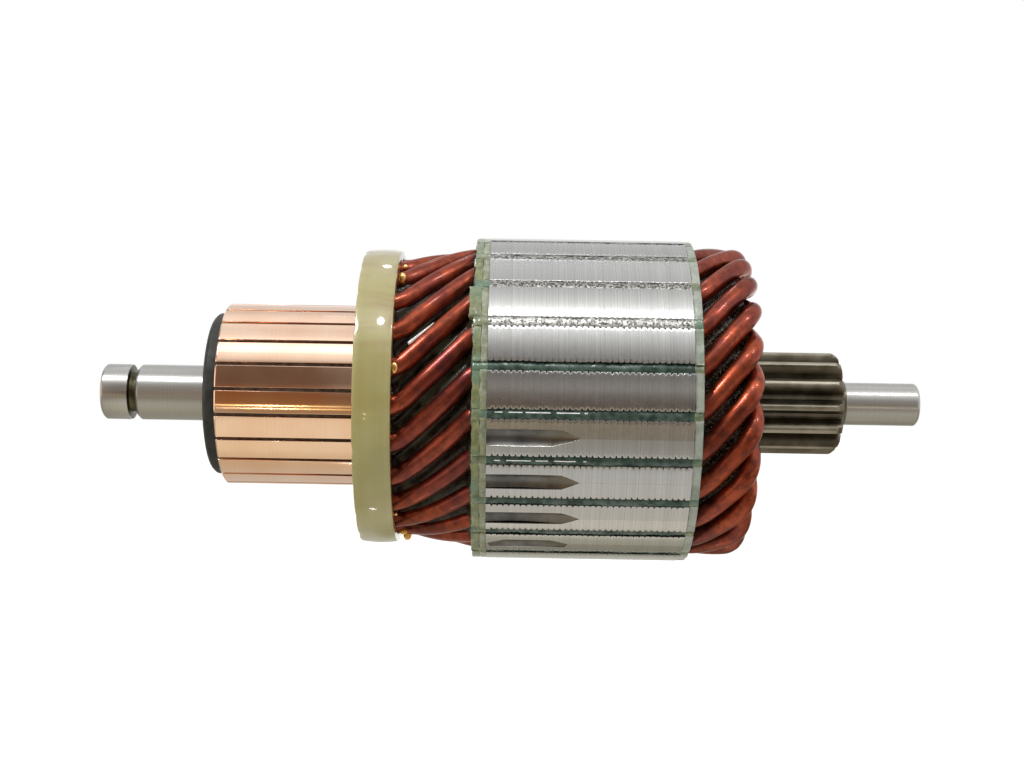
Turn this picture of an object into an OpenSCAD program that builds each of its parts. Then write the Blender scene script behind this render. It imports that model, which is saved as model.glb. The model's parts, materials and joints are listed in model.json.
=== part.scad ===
// Armature of a geared starter motor: a shaft with its sun gear cut on it, a slotted
// lamination stack, a two-layer hairpin wave winding and a moulded commutator.
// The shaft lies along X with the drive end at +X, and the origin is at half its length.

/* [Shaft] */
// Diameter of the journal at the commutator end
commutator_journal_d = 13; // [11:0.5:15]
// Length of that journal, from the shaft's end to the commutator
commutator_journal_length = 26.3; // [22:0.1:32]
// Diameter of the journal at the drive end
drive_journal_d = 10; // [8:0.5:12]
// Length of that journal
drive_journal_length = 17.4; // [12:0.1:24]
// Diameter of the seat that the commutator is pressed on
commutator_seat_d = 16; // [15.5:0.5:18]
// Diameter of the seat that the core is pressed on
core_seat_d = 18; // [18:0.5:22]
// Chamfer on both ends of the shaft
shaft_chamfer = 0.6; // [0.3:0.1:1]
// Distance of the snap ring groove from the shaft's end
ring_groove_start = 6.4; // [4:0.1:9]
// Width of the snap ring groove at its bottom
ring_groove_width = 1.6; // [1:0.1:3]
// Depth of the snap ring groove
ring_groove_depth = 1.9; // [1:0.1:2.5]
// Width of the lead-in chamfer on the groove's inner side
ring_groove_chamfer = 0.8; // [0.4:0.1:1.2]

/* [Sun gear] */
// Number of teeth
gear_teeth = 13; // [11:1:15]
// Module of the teeth
gear_module = 1.6; // [1.5:0.05:1.7]
// Pressure angle of the teeth
gear_pressure_angle = 20; // [18:0.5:22]
// Length of the teeth
gear_length = 27.9; // [20:0.1:32]
// Bare neck between the core and the teeth
gear_neck_length = 8; // [6:0.5:10]
// Length of the collar between the teeth and the drive end journal
gear_collar_length = 1.4; // [1:0.1:3]
// Diameter of that collar
gear_collar_d = 11; // [10.5:0.1:13]
// Chamfer on the tooth ends
gear_chamfer = 1.7; // [1.2:0.1:2.6]

/* [Core] */
// Diameter of the lamination stack
core_d = 75; // [73:0.5:80]
// Length of the lamination stack
core_length = 44.1; // [34:0.1:52]
// Number of slots, coils and commutator bars
slot_count = 23; // [20:3:23]
// Width of a slot's mouth
slot_mouth = 2; // [1.5:0.1:2.5]
// Thickness of the tooth lips over a slot
slot_lip = 1.7; // [1.3:0.1:2.2]
// Thickness of the outer fibre plate at the commutator end
outer_plate_t = 1.7; // [1:0.1:2.5]
// Thickness of the fibre plate under it
inner_plate_t = 1.5; // [1:0.1:2.5]
// Thickness of the fibre plate at the drive end
drive_plate_t = 1.9; // [1:0.1:2.5]
// Setback of the fibre plates from the core's surface
plate_setback = 0.15; // [0:0.05:0.5]

/* [Balance cuts] */
// Width of the balance cuts
balance_cut_width = 3.5; // [2.5:0.05:3.8]
// Diameter of the disc that makes them
balance_disc_d = 130; // [80:5:160]
// Depth of the heavy cuts
balance_cut_depth = 1.4; // [1:0.1:1.6]
// Distance of the heavy cuts' deepest point from the core's end
balance_cut_centre = 6.6; // [2:0.1:8]
// Depth of the light cut
light_cut_depth = 0.8; // [0.5:0.1:1]
// Height of the disc's bevelled rim
balance_disc_bevel = 0.7; // [0.4:0.1:1]

/* [Winding] */
// Diameter of the enamelled wire
wire_d = 4.2; // [3.8:0.1:4.3]
// Thickness of the slot liners
liner_t = 0.3; // [0.2:0.05:0.4]
// Length of liner that stands out of the core at each end
liner_tip = 0.3; // [0.2:0.1:0.8]
// Clearance of the wire in its liner
wire_clearance = 0.15; // [0.1:0.05:0.2]
// Thickness of the insulation between the two layers
layer_t = 0.3; // [0.2:0.05:0.4]
// Clearance of the wires on both sides of that insulation
layer_clearance = 0.25; // [0.2:0.05:0.35]
// Length of the open winding between the risers and the core
commutator_overhang = 17.5; // [16:0.1:20]
// Length of the winding heads past the core at the drive end
drive_overhang = 13.6; // [13.5:0.1:17]
// Angle from a head's middle to the corner of its bend
head_half_angle = 5; // [4.5:0.1:5.5]
// Outward spread of the wires in the winding heads
head_spread = 0.6; // [0.4:0.1:0.8]

/* [Commutator] */
// Diameter of the brush track
track_d = 42.4; // [41.5:0.1:44]
// Length of the brush track
track_length = 32.1; // [26:0.1:40]
// Length of the risers that hold the wire ends
riser_length = 8.2; // [6:0.1:10]
// Depth of the bars under the brush track
bar_depth = 4.6; // [4:0.1:5]
// Depth of the dovetail that anchors a bar
tang_depth = 2.5; // [2:0.1:2.8]
// Gap between neighbouring bars
bar_gap = 0.8; // [0.6:0.05:1]
// Depth of the mica below the brush track
mica_undercut = 0.7; // [0.4:0.1:1]
// Clearance of the wire ends in the riser slots
riser_clearance = 0.1; // [0.05:0.05:0.2]
// Copper between the outer wire end and the riser's rim
riser_cover = 0.1; // [0.05:0.05:0.3]
// Diameter of the moulded hub's collar
collar_d = 37.8; // [35:0.1:39]
// Length of the collar in front of the bars
collar_length = 3.2; // [2:0.1:5]
// Drop of the wires from the core to the risers
riser_drop = 3.05; // [2.6:0.05:3.4]

/* [Band] */
// Thickness of the resin band on the risers
band_t = 2; // [1.5:0.1:2.6]
// Clearance of the band on the risers
band_clearance = 0.05; // [0.02:0.01:0.1]
// Reach of the band past the risers' front faces
band_lip = 0.1; // [0.1:0.1:0.6]
// Rounding of the band's rims
band_round = 0.4; // [0.2:0.1:0.8]
// Rise of the band's crown over its rims
band_crown = 0.3; // [0.1:0.1:0.6]

/* [Hidden] */
$fn = 96;
// Angle of the first slot, of the bar in line with it, and of the first gear tooth
slot_phase = 4.6;
gear_phase = 5;
// Poles that the wave winding is laid for
pole_count = 6;
// Teeth that carry balance cuts, counted from the first slot
heavy_cuts = [0, 1, 2];
light_cuts = [3];
// Overlap of a cutting shape past the surface that it cuts
cut = 1;
// Rings and sides of a wire's swept surface
wire_sides = 8;
bend_steps = 2;
head_steps = 3;
crown_steps = 8;

// Slots spanned by a coil, bars from one of its ends to the other, and the slots
// between its outer leg and that leg's bar
coil_span = round(slot_count / pole_count);
bar_span = round(2 * (slot_count + 1) / pole_count);
bar_shift = floor((bar_span - coil_span) / 2);

pitch = 360 / slot_count;
wire_r = wire_d / 2;
core_r = core_d / 2;
track_r = track_d / 2;

// Stations along the shaft, from the commutator end
collar_z = commutator_journal_length;
track_z = collar_z + collar_length;
riser_z = track_z + track_length;
riser_end_z = riser_z + riser_length;
outer_plate_z = riser_end_z + commutator_overhang;
inner_plate_z = outer_plate_z + outer_plate_t;
core_z = inner_plate_z + inner_plate_t;
core_end_z = core_z + core_length;
slot_end_z = core_end_z + drive_plate_t;
head_z = slot_end_z + drive_overhang - wire_r;
gear_z = slot_end_z + gear_neck_length;
gear_end_z = gear_z + gear_length;
drive_journal_z = gear_end_z + gear_collar_length;
overall_length = drive_journal_z + drive_journal_length;

// Radii of the two wire layers, in the slots, in the heads and in the risers
layer_step = wire_d + layer_t + 2 * layer_clearance;
slot_top_r = core_r - slot_lip;
outer_r = slot_top_r - liner_t - wire_clearance - wire_r;
inner_r = outer_r - layer_step;
outer_head_r = outer_r + head_spread;
inner_head_r = inner_r - head_spread / 2;
outer_riser_r = outer_r - riser_drop;
inner_riser_r = outer_riser_r - layer_step;
slot_half_w = wire_r + wire_clearance + liner_t;

// Corners of a coil's path stay clear of the liners, and bend over these lengths
slot_bend = 1.3;
head_bend = 4;
riser_bend = 1.3;
slot_corner = liner_tip + slot_bend;
riser_corner = riser_bend;

// Commutator radii
bar_inner_r = track_r - bar_depth;
tang_inner_r = bar_inner_r - tang_depth;
tang_neck = 4;
tang_foot = 2;
bar_chamfer = 0.3;
riser_slot_r = inner_riser_r - wire_r - riser_clearance;
riser_slot_w = wire_d + 2 * riser_clearance;
riser_r = outer_riser_r + wire_r + riser_cover;
band_inner_r = riser_r + band_clearance;
band_r = band_inner_r + band_t;
collar_round = 0.8;

// Gear circles
gear_pitch_r = gear_module * gear_teeth / 2;
gear_tip_r = gear_pitch_r + gear_module;
gear_root_r = gear_pitch_r - 1.25 * gear_module;
gear_base_r = gear_pitch_r * cos(gear_pressure_angle);
flank_steps = 4;

function slot_angle(k) = slot_phase + k * pitch;
function two_digits(k) = str(k < 10 ? "0" : "", k);
function bar_name(k) = str("commutator_bar_", two_digits(k));
function coil_name(k) = str("coil_", two_digits(k));

// Turns a shape built up along Z, from the commutator end, onto the shaft's axis
module on_axis() {
  rotate([-90, 0, 0]) rotate([0, 90, 0]) translate([0, 0, -overall_length / 2]) children();
}

// One slot's section, on the X axis, kept in from its walls by a margin
module slot_section(margin) {
  half_w = slot_half_w - margin;
  translate([inner_r, 0]) circle(r = half_w);
  translate([inner_r, -half_w]) square([slot_top_r - margin - inner_r, 2 * half_w]);
}

// Section of the slotted disc that the core and its fibre plates share
module slotted_disc(radius, bore_r) {
  difference() {
    circle(r = radius);
    circle(r = bore_r);
    for (k = [0 : slot_count - 1]) rotate(slot_angle(k)) {
      slot_section(0);
      translate([inner_r, -slot_mouth / 2]) square([core_r - inner_r + cut, slot_mouth]);
    }
  }
}

// Involute tooth flanks
function involute(angle) = tan(angle) * 180 / PI - angle;
function flank_r(i) = gear_base_r + (gear_tip_r - gear_base_r) * i / flank_steps;
function half_tooth(r) =
  90 / gear_teeth + involute(gear_pressure_angle) - involute(acos(min(1, gear_base_r / r)));
function polar(r, angle) = [r * cos(angle), r * sin(angle)];

module gear_section() {
  polygon([
    for (t = [0 : gear_teeth - 1])
      let (middle = gear_phase + t * 360 / gear_teeth)
        each concat(
          [polar(gear_root_r, middle - half_tooth(gear_base_r))],
          [for (i = [0 : flank_steps]) polar(flank_r(i), middle - half_tooth(flank_r(i)))],
          [for (i = [flank_steps : -1 : 0]) polar(flank_r(i), middle + half_tooth(flank_r(i)))],
          [polar(gear_root_r, middle + half_tooth(gear_base_r))]
        )
  ]);
}

module gear_blank() {
  rotate_extrude() polygon([
    [0, 0],
    [gear_tip_r - gear_chamfer / 2, 0],
    [gear_tip_r, gear_chamfer / 2],
    [gear_tip_r, gear_length - gear_chamfer],
    [gear_tip_r - gear_chamfer, gear_length],
    [0, gear_length]
  ]);
}

module shaft_turning() {
  near_r = commutator_journal_d / 2;
  far_r = drive_journal_d / 2;
  groove_r = near_r - ring_groove_depth;
  groove_end = ring_groove_start + ring_groove_width;
  rotate_extrude() polygon([
    [0, 0],
    [near_r - shaft_chamfer, 0],
    [near_r, shaft_chamfer],
    [near_r, ring_groove_start],
    [groove_r, ring_groove_start],
    [groove_r, groove_end],
    [near_r - ring_groove_chamfer, groove_end],
    [near_r, groove_end + ring_groove_chamfer],
    [near_r, collar_z],
    [commutator_seat_d / 2, collar_z],
    [commutator_seat_d / 2, riser_end_z + riser_bend],
    [core_seat_d / 2, riser_end_z + riser_bend + (core_seat_d - commutator_seat_d) / 2],
    [core_seat_d / 2, gear_z],
    [gear_root_r, gear_z],
    [gear_root_r, gear_end_z],
    [gear_collar_d / 2, gear_end_z],
    [gear_collar_d / 2, drive_journal_z],
    [far_r, drive_journal_z],
    [far_r, overall_length - shaft_chamfer],
    [far_r - shaft_chamfer, overall_length],
    [0, overall_length]
  ]);
}

module shaft() {
  color("slategray") on_axis() {
    shaft_turning();
    translate([0, 0, gear_z]) intersection() {
      linear_extrude(gear_length) gear_section();
      gear_blank();
    }
  }
}

// The bevelled disc in the plane of the shaft, set to a depth at a station along it
module balance_disc(depth, z) {
  disc_r = balance_disc_d / 2;
  half_w = balance_cut_width / 2;
  translate([core_r + disc_r - depth, 0, z]) rotate([90, 0, 0]) rotate_extrude() polygon([
    [0, -half_w],
    [disc_r - balance_disc_bevel, -half_w],
    [disc_r, 0],
    [disc_r - balance_disc_bevel, half_w],
    [0, half_w]
  ]);
}

module core_laminations() {
  light_reach = sqrt(light_cut_depth * (balance_disc_d - light_cut_depth));
  color("silver") on_axis() difference() {
    translate([0, 0, core_z]) linear_extrude(core_length) slotted_disc(core_r, core_seat_d / 2);
    for (tooth = heavy_cuts) rotate(slot_angle(tooth + 0.5))
      balance_disc(balance_cut_depth, core_z + balance_cut_centre);
    for (tooth = light_cuts) rotate(slot_angle(tooth + 0.5))
      balance_disc(light_cut_depth, core_z + light_reach);
  }
}

module fibre_plate(z, thickness) {
  on_axis() translate([0, 0, z]) linear_extrude(thickness)
    slotted_disc(core_r - plate_setback, core_seat_d / 2);
}

module outer_fibre_plate() {
  color("darkkhaki") fibre_plate(outer_plate_z, outer_plate_t);
}

module inner_fibre_plate() {
  color("darkseagreen") fibre_plate(inner_plate_z, inner_plate_t);
}

module drive_fibre_plate() {
  color("darkseagreen") fibre_plate(core_end_z, drive_plate_t);
}

module slot_liners() {
  liner_z = outer_plate_z - liner_tip;
  liner_length = slot_end_z - outer_plate_z + 2 * liner_tip;
  color("teal") on_axis() for (k = [0 : slot_count - 1])
    rotate(slot_angle(k)) translate([0, 0, liner_z]) linear_extrude(liner_length) difference() {
      slot_section(0);
      slot_section(liner_t);
    }
}

// A thin collar between the wire layers, given by its middle radius at both ends
module layer_collar(z1, r1, z2, r2) {
  on_axis() rotate_extrude() polygon([
    [r1 - layer_t / 2, z1],
    [r1 + layer_t / 2, z1],
    [r2 + layer_t / 2, z2],
    [r2 - layer_t / 2, z2]
  ]);
}

module commutator_layer_insulation() {
  z1 = riser_end_z + riser_corner;
  z2 = outer_plate_z - slot_corner;
  color("saddlebrown")
    layer_collar(z1, outer_riser_r - layer_step / 2, z2, outer_r - layer_step / 2);
}

module drive_layer_insulation() {
  middle_r = (outer_r + inner_r) / 2;
  color("saddlebrown")
    layer_collar(slot_end_z + liner_tip, middle_r, head_z - wire_d - wire_r, middle_r);
}

// Section of a bar, from its anchor up to its riser
module bar_section(track_cut, riser_cut) {
  polygon([
    [track_r - track_cut - bar_chamfer, track_z],
    [track_r - track_cut, track_z + bar_chamfer],
    [track_r - track_cut, riser_z],
    [riser_r - riser_cut, riser_z],
    [riser_r - riser_cut, riser_end_z],
    [bar_inner_r, riser_end_z],
    [bar_inner_r, riser_end_z - tang_neck],
    [tang_inner_r, riser_end_z - tang_foot],
    [tang_inner_r, track_z + tang_foot],
    [bar_inner_r, track_z + tang_neck],
    [bar_inner_r, track_z]
  ]);
}

module commutator_bar(k) {
  half_angle = pitch / 2;
  reach = riser_r / cos(half_angle) + cut;
  apex = bar_gap / 2 / sin(half_angle);
  color("peru") on_axis() rotate(slot_angle(k)) difference() {
    intersection() {
      rotate_extrude() bar_section(0, 0);
      linear_extrude(overall_length) polygon([
        [apex, 0],
        [apex + reach * cos(half_angle), reach * sin(half_angle)],
        [apex + reach * cos(half_angle), -reach * sin(half_angle)]
      ]);
    }
    translate([riser_slot_r, -riser_slot_w / 2, riser_z - cut])
      cube([riser_r - riser_slot_r + cut, riser_slot_w, riser_length + 2 * cut]);
  }
}

module commutator_mica() {
  color("tan") on_axis() for (k = [0 : slot_count - 1]) rotate(slot_angle(k + 0.5))
    rotate([90, 0, 0]) linear_extrude(bar_gap, center = true)
      bar_section(mica_undercut, mica_undercut);
}

module commutator_hub() {
  seat_r = commutator_seat_d / 2;
  collar_r = collar_d / 2;
  color("darkslategray") on_axis() rotate_extrude() difference() {
    polygon([
      [seat_r, collar_z],
      [collar_r - collar_round, collar_z],
      [collar_r, collar_z + collar_round],
      [collar_r, track_z],
      [bar_inner_r, track_z],
      [bar_inner_r, riser_end_z],
      [seat_r, riser_end_z]
    ]);
    bar_section(0, 0);
  }
}

module riser_band() {
  band_z = riser_z - band_lip;
  middle_z = (band_z + riser_end_z) / 2;
  rim_r = band_r - band_crown;
  half_w = (riser_end_z - band_z) / 2 - band_round;
  color("darkkhaki") on_axis() rotate_extrude() {
    translate([band_inner_r, band_z])
      square([rim_r - band_round - band_inner_r, riser_end_z - band_z]);
    polygon(concat(
      [[band_inner_r, middle_z + half_w], [band_inner_r, middle_z - half_w]],
      [
        for (i = [0 : crown_steps])
          let (t = 2 * i / crown_steps - 1) [band_r - band_crown * t ^ 2, middle_z + half_w * t]
      ]
    ));
    for (side = [-1, 1])
      translate([rim_r - band_round, middle_z + side * half_w]) circle(r = band_round);
  }
}

// A coil's path: corners as [angle, station, radius, bend length], from riser to riser
function coil_corners(k) =
  let (
    out_a = slot_angle(k),
    in_a = slot_angle(k - coil_span),
    head_a = (out_a + in_a) / 2,
    out_bar = slot_angle(k + bar_shift),
    in_bar = slot_angle(k + bar_shift - bar_span)
  )
  [
    [out_bar, riser_z, outer_riser_r, 0],
    [out_bar, riser_end_z + riser_corner, outer_riser_r, riser_bend],
    [out_a, outer_plate_z - slot_corner, outer_r, slot_bend],
    [out_a, slot_end_z + slot_corner, outer_r, slot_bend],
    [head_a + head_half_angle, head_z, outer_head_r, head_bend],
    [head_a - head_half_angle, head_z, inner_head_r, head_bend],
    [in_a, slot_end_z + slot_corner, inner_r, slot_bend],
    [in_a, outer_plate_z - slot_corner, inner_r, slot_bend],
    [in_bar, riser_end_z + riser_corner, inner_riser_r, riser_bend],
    [in_bar, riser_z, inner_riser_r, 0]
  ];

// Corners are bent in the unrolled surface of the layers' middle radius
layers_r = (outer_r + inner_r) / 2;
function unrolled(c) = [c[0] * PI / 180 * layers_r, c[1], c[2]];
function rolled(p) = let (a = p[0] / layers_r * 180 / PI) [p[2] * cos(a), p[2] * sin(a), p[1]];
function toward(p, q, distance) = p + (q - p) * min(0.5, distance / norm(q - p));
function bend(p, c, q, steps) =
  [for (i = [0 : steps]) let (t = i / steps) p * (1 - t) ^ 2 + c * 2 * t * (1 - t) + q * t ^ 2];
function bent_corner(corners, i) =
  let (
    here = unrolled(corners[i]),
    length = corners[i][3],
    from = toward(here, unrolled(corners[i - 1]), length),
    to = toward(here, unrolled(corners[i + 1]), length)
  )
  bend(from, here, to, length == head_bend ? head_steps : bend_steps);
// A ring half way keeps the long slanting stretches round the shaft
function halfway(p, q) = abs(p[0] - q[0]) > wire_r ? [(p + q) / 2] : [];
function coil_path(corners) =
  let (
    last = len(corners) - 1,
    bends = [for (i = [1 : last - 1]) bent_corner(corners, i)]
  )
  concat(
    [unrolled(corners[0])],
    [
      for (i = [0 : last - 2])
        each concat(
          bends[i],
          i < last - 2 ? halfway(bends[i][len(bends[i]) - 1], bends[i + 1][0]) : []
        )
    ],
    [unrolled(corners[last])]
  );

// Sweeps a round wire along a path of points
function unit(v) = v / norm(v);
function ring(path, i) =
  let (
    last = len(path) - 1,
    along = unit(path[min(i + 1, last)] - path[max(i - 1, 0)]),
    side = unit(cross(along, [path[i][0], path[i][1], 0])),
    up = cross(side, along)
  )
  [
    for (s = [0 : wire_sides - 1])
      let (a = 360 * s / wire_sides) path[i] + wire_r * (cos(a) * up + sin(a) * side)
  ];

module wire(path) {
  rings = len(path);
  n = wire_sides;
  polyhedron(
    points = [for (i = [0 : rings - 1]) each ring(path, i)],
    faces = concat(
      [[for (s = [0 : n - 1]) s]],
      [
        for (i = [0 : rings - 2], s = [0 : n - 1])
          let (a = i * n + s, b = i * n + (s + 1) % n)
            each [[a, a + n, b], [b, a + n, b + n]]
      ],
      [[for (s = [n - 1 : -1 : 0]) (rings - 1) * n + s]]
    )
  );
}

module coil(k) {
  color("sienna") on_axis() wire([for (p = coil_path(coil_corners(k))) rolled(p)]);
}

shaft();
core_laminations();
outer_fibre_plate();
inner_fibre_plate();
drive_fibre_plate();
slot_liners();
commutator_layer_insulation();
drive_layer_insulation();
commutator_hub();
commutator_mica();
riser_band();
for (k = [1 : slot_count]) commutator_bar(k);
for (k = [1 : slot_count]) coil(k);
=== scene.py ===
import json
import math
import random

import bpy
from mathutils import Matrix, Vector
from mathutils.geometry import tessellate_polygon


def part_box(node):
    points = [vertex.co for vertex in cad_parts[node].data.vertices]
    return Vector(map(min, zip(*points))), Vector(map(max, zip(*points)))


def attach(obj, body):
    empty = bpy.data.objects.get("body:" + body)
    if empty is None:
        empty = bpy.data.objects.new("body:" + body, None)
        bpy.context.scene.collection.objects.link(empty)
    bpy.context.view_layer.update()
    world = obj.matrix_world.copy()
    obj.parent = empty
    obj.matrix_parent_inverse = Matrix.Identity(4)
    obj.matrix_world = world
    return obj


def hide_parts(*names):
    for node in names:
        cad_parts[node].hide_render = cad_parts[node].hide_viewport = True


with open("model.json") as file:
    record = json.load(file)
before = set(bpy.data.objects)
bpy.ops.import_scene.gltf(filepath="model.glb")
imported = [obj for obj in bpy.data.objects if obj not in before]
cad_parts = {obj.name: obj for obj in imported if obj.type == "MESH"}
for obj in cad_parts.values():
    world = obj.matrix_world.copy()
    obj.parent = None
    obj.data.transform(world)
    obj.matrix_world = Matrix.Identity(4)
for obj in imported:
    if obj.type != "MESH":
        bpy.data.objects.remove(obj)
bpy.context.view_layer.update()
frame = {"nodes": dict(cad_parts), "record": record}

# Shaft: one piece of steel from end to end, turned and ground on its journals.
# The sun gear is cut on it and hardened, so its flanks are dark and its lands rubbed bright.
mm = 0.001
mounts = {mount["name"]: mount for mount in frame["record"]["mounts"]}


def mount_x(name):
    """The station along the shaft where a mount sits."""
    return mounts[name]["pos_m"][0]


def span(node):
    """The stations along the shaft where a node of the frame starts and ends."""
    low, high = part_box(node)
    return low.x, high.x


def around(x, radius, angle):
    """A point at a station, a distance from the axis, and an angle up from the front."""
    return (x, -radius * math.cos(angle), radius * math.sin(angle))


def softened(profile, size):
    """A turned profile with each of its corners eased by a small curve."""
    eased = [profile[0]]
    for before, here, after in zip(profile, profile[1:], profile[2:]):
        here = Vector(here)
        back, on = Vector(before) - here, Vector(after) - here
        start = here + back * min(0.4, size / back.length)
        end = here + on * min(0.4, size / on.length)
        eased += [tuple(start), tuple((start + 2 * here + end) / 4), tuple(end)]
    return eased + [profile[-1]]


def ring_faces(first, second, count):
    """Faces between two closed rings of points, given by their first indices."""
    return [
        (first + i, first + (i + 1) % count, second + (i + 1) % count, second + i)
        for i in range(count)
    ]


def tube(rings):
    """A skin over rings with equal counts, open at both ends."""
    count = len(rings[0])
    verts = [point for ring in rings for point in ring]
    faces = []
    for first in range(0, len(verts) - count, count):
        faces += ring_faces(first, first + count, count)
    return verts, faces


def loft(rings, closed):
    """A skin over rings with equal counts: capped at both ends, or closed on itself."""
    verts, faces = tube(rings)
    count = len(rings[0])
    last = len(verts) - count
    if closed:
        faces += ring_faces(last, 0, count)
    else:
        faces.append(tuple(reversed(range(count))))
        faces.append(tuple(range(last, len(verts))))
    return verts, faces


def dress(mesh, looks):
    """Gives a mesh its materials, in the order of the faces' material indices."""
    mesh.materials.clear()
    for look in looks:
        mesh.materials.append(look.material)


def finished(name, mesh, looks, nodes, sharp_deg=30):
    """Makes a mesh one finished piece that rides on the part and stands for nodes of the frame."""
    mesh.shade_smooth()
    mesh.set_sharp_from_angle(angle=math.radians(sharp_deg))
    if looks:
        dress(mesh, looks)
    obj = bpy.data.objects.new(name, mesh)
    bpy.context.scene.collection.objects.link(obj)
    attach(obj, "root")
    if nodes:
        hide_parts(*nodes)
    return obj


def piece(name, verts, faces, looks, nodes, sharp_deg=30):
    """Makes one finished piece from points and faces."""
    mesh = bpy.data.meshes.new(name)
    mesh.from_pydata(verts, [], faces)
    mesh.validate()
    return finished(name, mesh, looks, nodes, sharp_deg)


class Nodes:
    """A node tree, with short words for adding nodes to it."""

    def __init__(self, tree):
        self.tree = tree

    def add(self, kind, settings=None, **inputs):
        """A new node with its settings made and its inputs fed. Spaces in names are underscores."""
        node = self.tree.nodes.new(kind)
        for key, value in (settings or {}).items():
            setattr(node, key, value)
        for key, value in inputs.items():
            self.feed(node.inputs[key.replace("_", " ")], value)
        return node

    def feed(self, socket, value):
        """Links a socket to another one, or gives it a value of its own."""
        if isinstance(value, bpy.types.NodeSocket):
            self.tree.links.new(value, socket)
        else:
            socket.default_value = (*value, 1) if socket.type == "RGBA" else value

    def math(self, operation, *values):
        node = self.add("ShaderNodeMath", {"operation": operation})
        for socket, value in zip(node.inputs, values):
            self.feed(socket, value)
        return node.outputs[0]

    def ramp(self, value, low, high, to_low=0.0, to_high=1.0):
        node = self.add(
            "ShaderNodeMapRange", {"clamp": True}, Value=value,
            From_Min=low, From_Max=high, To_Min=to_low, To_Max=to_high,
        )
        return node.outputs["Result"]

    def mix(self, factor, first, second):
        node = self.add("ShaderNodeMix", {"data_type": "RGBA"}, Factor=factor)
        self.feed(node.inputs[6], first)
        self.feed(node.inputs[7], second)
        return node.outputs[2]

    def graded(self, value, *stops):
        """A colour that runs through stops, each a place along a value and the colour there."""
        colour = stops[0][1]
        for (low, _), (high, shade) in zip(stops, stops[1:]):
            colour = self.mix(self.ramp(value, low, high), colour, shade)
        return colour

    def effect(self, group, **inputs):
        """The outputs of a shared effect."""
        return self.add("ShaderNodeGroup", {"node_tree": group.tree}, **inputs).outputs

    def place(self):
        """The object coordinates."""
        return self.add("ShaderNodeTexCoord").outputs["Object"]

    def axes(self):
        """The object coordinates, one socket for each axis."""
        return self.add("ShaderNodeSeparateXYZ", Vector=self.place()).outputs


class Look(Nodes):
    """A material with a Principled shader, whose sockets are fed by their names."""

    def __init__(self, name, **sockets):
        self.material = bpy.data.materials.new(name)
        self.material.use_nodes = True
        super().__init__(self.material.node_tree)
        self.shader = self.tree.nodes["Principled BSDF"]
        self.set(**sockets)

    def set(self, **sockets):
        for socket, value in sockets.items():
            self.feed(self.shader.inputs[socket.replace("_", " ")], value)

    def finish(self, colour, pattern, smooth, rough):
        """Sets the colour, and a roughness that follows a pattern."""
        self.set(Base_Color=colour, Roughness=self.ramp(pattern, 0.3, 0.7, smooth, rough))

    def bump(self, height, distance):
        node = self.add("ShaderNodeBump", Height=height, Distance=distance, Strength=1.0)
        self.set(Normal=node.outputs["Normal"])


socket_kinds = {type(None): "NodeSocketGeometry", float: "NodeSocketFloat", int: "NodeSocketInt"}


def new_group(name, kind, inputs, outputs):
    """An empty node group. Its sockets have a starting value, or None where they carry a shape."""
    tree = bpy.data.node_groups.new(name, kind)
    for way, sockets in (("INPUT", inputs), ("OUTPUT", outputs)):
        for socket, value in sockets.items():
            made = tree.interface.new_socket(socket, in_out=way, socket_type=socket_kinds[type(value)])
            if value is not None:
                made.default_value = value
    nodes = Nodes(tree)
    return nodes, nodes.add("NodeGroupInput").outputs, nodes.add("NodeGroupOutput").inputs


# Marks of the lathe and the grinder: fine lines round the shaft's axis, and the distance from it
turned, given, result = new_group(
    "turning_marks", "ShaderNodeTree", {"Lines": 4000.0, "Patches": 60.0},
    dict.fromkeys(("Lines", "Patches", "Radius", "Station"), 0.0),
)
axes = turned.axes()
lines = turned.add(
    "ShaderNodeTexNoise", {"noise_dimensions": "1D"},
    W=axes["X"], Scale=given["Lines"], Detail=3.0, Roughness=0.6,
)
patches = turned.add("ShaderNodeTexNoise", Vector=turned.place(), Scale=given["Patches"], Detail=4.0)
y_squared = turned.math("MULTIPLY", axes["Y"], axes["Y"])
r_squared = turned.math("MULTIPLY_ADD", axes["Z"], axes["Z"], y_squared)
turned.feed(result["Lines"], lines.outputs["Fac"])
turned.feed(result["Patches"], patches.outputs["Fac"])
turned.feed(result["Radius"], turned.math("SQRT", r_squared))
turned.feed(result["Station"], axes["X"])


def turned_metal(name, lines, patches, grain=0.0):
    """A bare metal and its turning marks. A grain draws its highlights out along the shaft."""
    look = Look(name, Metallic=1.0)
    if grain:
        tangent = look.add("ShaderNodeTangent", {"direction_type": "RADIAL", "axis": "X"})
        look.set(Anisotropic=grain, Anisotropic_Rotation=0.25, Tangent=tangent.outputs["Tangent"])
    return look, look.effect(turned, Lines=lines, Patches=patches)


ground_steel, marks = turned_metal("ground_steel", 5200.0, 140.0, grain=0.82)
ground_steel.set(
    Base_Color=ground_steel.graded(marks["Lines"], (0.3, (0.40, 0.395, 0.38)), (0.7, (0.53, 0.525, 0.51))),
    Roughness=ground_steel.ramp(marks["Patches"], 0.35, 0.7, 0.29, 0.37),
)
ground_steel.bump(marks["Lines"], 0.003 * mm)

# Dark olive steel for the snap-ring groove: an oily tone, made darker as painted shade of the recess.
shaded_oily_steel, marks = turned_metal("oiled_groove_steel", 2600.0, 420.0)
groove_oil_and_shade = shaded_oily_steel.graded(marks["Patches"], (0.35, (0.060, 0.052, 0.030)), (0.65, (0.15, 0.13, 0.08)))
shaded_oily_steel.finish(groove_oil_and_shade, marks["Lines"], 0.35, 0.5)

gear_teeth = 13
gear_module = 1.6 * mm
gear_pressure = math.radians(20)
gear_phase = math.radians(-5)
gear_pitch_r = gear_module * gear_teeth / 2
gear_tip_r = gear_pitch_r + gear_module
gear_root_r = gear_pitch_r - 1.25 * gear_module
gear_base_r = gear_pitch_r * math.cos(gear_pressure)
gear_fillet = 0.25 * mm
gear_tip_round = 0.12 * mm

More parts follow.
